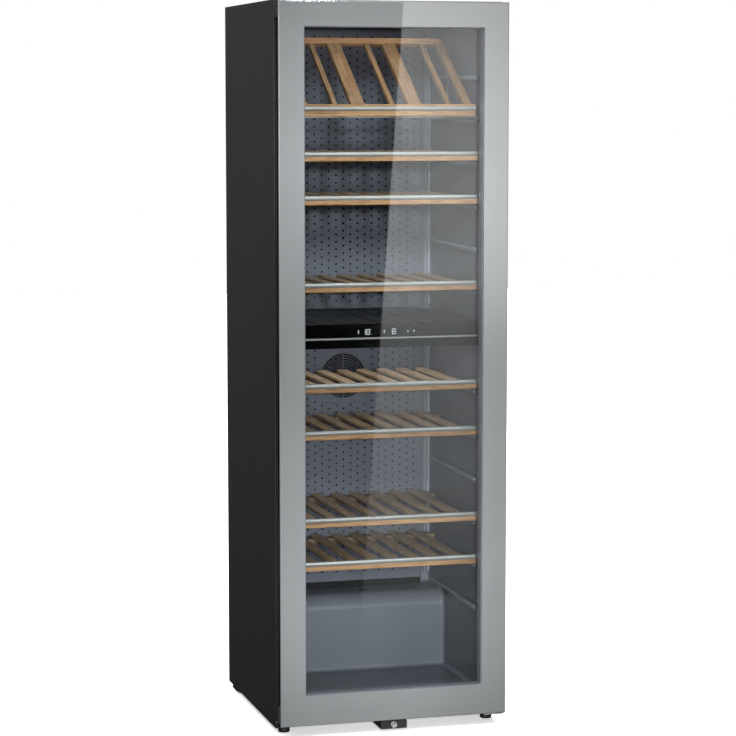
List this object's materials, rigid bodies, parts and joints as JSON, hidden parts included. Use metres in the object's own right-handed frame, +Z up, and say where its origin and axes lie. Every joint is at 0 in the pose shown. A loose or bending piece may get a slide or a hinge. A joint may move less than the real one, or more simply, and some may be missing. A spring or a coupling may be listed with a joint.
{
  "type": "wine cooler",
  "caption": "Tall free-standing wine cooler: near-black cabinet, right-hinged silver-framed glass door, slatted wooden shelves, inclined display rack and a control panel between two zones.",
  "frame": {"origin": "middle of the footprint, on the floor", "axes": "+X to the right as the user faces the door, -Y towards the user, +Z up"},
  "size_m": [0.6, 0.608, 1.86],
  "materials": {
    "side_paint": "satin near-black paint",
    "zinc_steel": "zinc-coated sheet",
    "foam": "expanded polyurethane",
    "liner": "satin blue-grey moulding",
    "duct_metal": "satin blue-grey perforated sheet",
    "black_plastic": "fine-grained black moulding",
    "gloss_black": "high gloss",
    "chrome": "polished",
    "aluminium": "brushed and anodised",
    "door_silver": "satin silver",
    "glass": "clear",
    "gasket": "matt",
    "wood": "oiled beech",
    "led_lens": "frosted lens",
    "circuit_board": "solder resist",
    "black_paint": "semi-gloss black"
  },
  "bodies": {
    "cabinet": {"side_panel_left": "side_paint", "side_panel_right": "side_paint", "top_panel": "side_paint", "rear_panel": "zinc_steel", "base_plate": "zinc_steel", "foam_insulation": "foam", "inner_liner": "liner", "upper_duct_panel": "duct_metal", "lower_duct_panel": "duct_metal", "lower_fan_grille": "black_plastic", "upper_fan_bracket": "zinc_steel", "upper_evaporator": "aluminium", "lower_evaporator": "aluminium", "condenser": "black_paint", "compressor": "black_paint", "drip_tray": "black_plastic", "mains_inlet": "black_plastic", "divider_housing": "black_plastic", "divider_trim_strip": "chrome", "control_fascia": "gloss_black", "divider_shelf": "black_plastic", "control_board": "circuit_board", "lower_led_lamp": "led_lens", "upper_led_lamp": "led_lens", "top_hinge_bracket": "zinc_steel", "bottom_hinge_bracket": "zinc_steel", "lock_housing": "black_plastic"},
    "door": {"door_front_frame": "door_silver", "door_outer_glass": "glass", "door_inner_frame": "black_plastic", "door_glass_spacer": "black_plastic", "door_inner_glass": "glass", "door_gasket": "gasket", "door_grip_strip": "black_plastic"},
    "upper_fan": {"upper_fan_rotor": "black_plastic"},
    "lower_fan": {"lower_fan_rotor": "black_plastic"},
    "lock_barrel": {"lock_cylinder": "chrome"},
    "lock_tongue": {"lock_bolt": "chrome"},
    "foot_left": {"front_foot_left": "black_plastic"},
    "foot_right": {"front_foot_right": "black_plastic"},
    "roller_left": {"rear_roller_left": "black_plastic"},
    "roller_right": {"rear_roller_right": "black_plastic"},
    "display_rack": {"display_rack_frame": "wood", "display_rack_strip": "aluminium", "display_rack_stand": "aluminium"},
    "shelf_body_1": {"shelf_1": "wood", "shelf_strip_1": "aluminium"},
    "shelf_body_2": {"shelf_2": "wood", "shelf_strip_2": "aluminium"},
    "shelf_body_3": {"shelf_3": "wood", "shelf_strip_3": "aluminium"},
    "shelf_body_4": {"shelf_4": "wood", "shelf_strip_4": "aluminium"},
    "shelf_body_5": {"shelf_5": "wood", "shelf_strip_5": "aluminium"},
    "shelf_body_6": {"shelf_6": "wood", "shelf_strip_6": "aluminium"},
    "shelf_body_7": {"shelf_7": "wood", "shelf_strip_7": "aluminium"}
  },
  "joints": [
    {"name": "door_hinge", "type": "hinge", "parent": "cabinet", "child": "door", "pos_m": [0.284, -0.286, 0.95], "axis": [0, 0, 1], "range_deg": [0, 110]},
    {"name": "display_rack_slide", "type": "slide", "parent": "cabinet", "child": "display_rack", "axis": [0, -1, 0], "range_m": [0, 0.022]},
    {"name": "shelf_1_slide", "type": "slide", "parent": "cabinet", "child": "shelf_body_1", "axis": [0, -1, 0], "range_m": [0, 0.022]},
    {"name": "shelf_2_slide", "type": "slide", "parent": "cabinet", "child": "shelf_body_2", "axis": [0, -1, 0], "range_m": [0, 0.022]},
    {"name": "shelf_3_slide", "type": "slide", "parent": "cabinet", "child": "shelf_body_3", "axis": [0, -1, 0], "range_m": [0, 0.022]},
    {"name": "shelf_4_slide", "type": "slide", "parent": "cabinet", "child": "shelf_body_4", "axis": [0, -1, 0], "range_m": [0, 0.022]},
    {"name": "shelf_5_slide", "type": "slide", "parent": "cabinet", "child": "shelf_body_5", "axis": [0, -1, 0], "range_m": [0, 0.022]},
    {"name": "shelf_6_slide", "type": "slide", "parent": "cabinet", "child": "shelf_body_6", "axis": [0, -1, 0], "range_m": [0, 0.022]},
    {"name": "shelf_7_slide", "type": "slide", "parent": "cabinet", "child": "shelf_body_7", "axis": [0, -1, 0], "range_m": [0, 0.022]},
    {"name": "lock_turn", "type": "hinge", "parent": "cabinet", "child": "lock_barrel", "pos_m": [0, -0.293, 0.0175], "axis": [0, -1, 0], "range_deg": [0, 90]},
    {"name": "lock_bolt_slide", "type": "slide", "parent": "cabinet", "child": "lock_tongue", "axis": [0, 0, 1], "range_m": [0, 0.014]},
    {"name": "foot_left_level", "type": "slide", "parent": "cabinet", "child": "foot_left", "axis": [0, 0, -1], "range_m": [0, 0.012]},
    {"name": "foot_right_level", "type": "slide", "parent": "cabinet", "child": "foot_right", "axis": [0, 0, -1], "range_m": [0, 0.012]},
    {"name": "roller_left_spin", "type": "hinge", "parent": "cabinet", "child": "roller_left", "pos_m": [-0.2785, 0.216, 0.0145], "axis": [1, 0, 0], "continuous": true},
    {"name": "roller_right_spin", "type": "hinge", "parent": "cabinet", "child": "roller_right", "pos_m": [0.2785, 0.216, 0.0145], "axis": [1, 0, 0], "continuous": true},
    {"name": "upper_fan_spin", "type": "hinge", "parent": "cabinet", "child": "upper_fan", "pos_m": [0, 0.21, 1.62], "axis": [0, -1, 0], "continuous": true},
    {"name": "lower_fan_spin", "type": "hinge", "parent": "cabinet", "child": "lower_fan", "pos_m": [0, 0.2065, 0.866], "axis": [0, -1, 0], "continuous": true}
  ],
  "couplings": [
    {"joint": "lock_bolt_slide", "follows": "lock_turn", "m_per_rad": 0.0089}
  ]
}
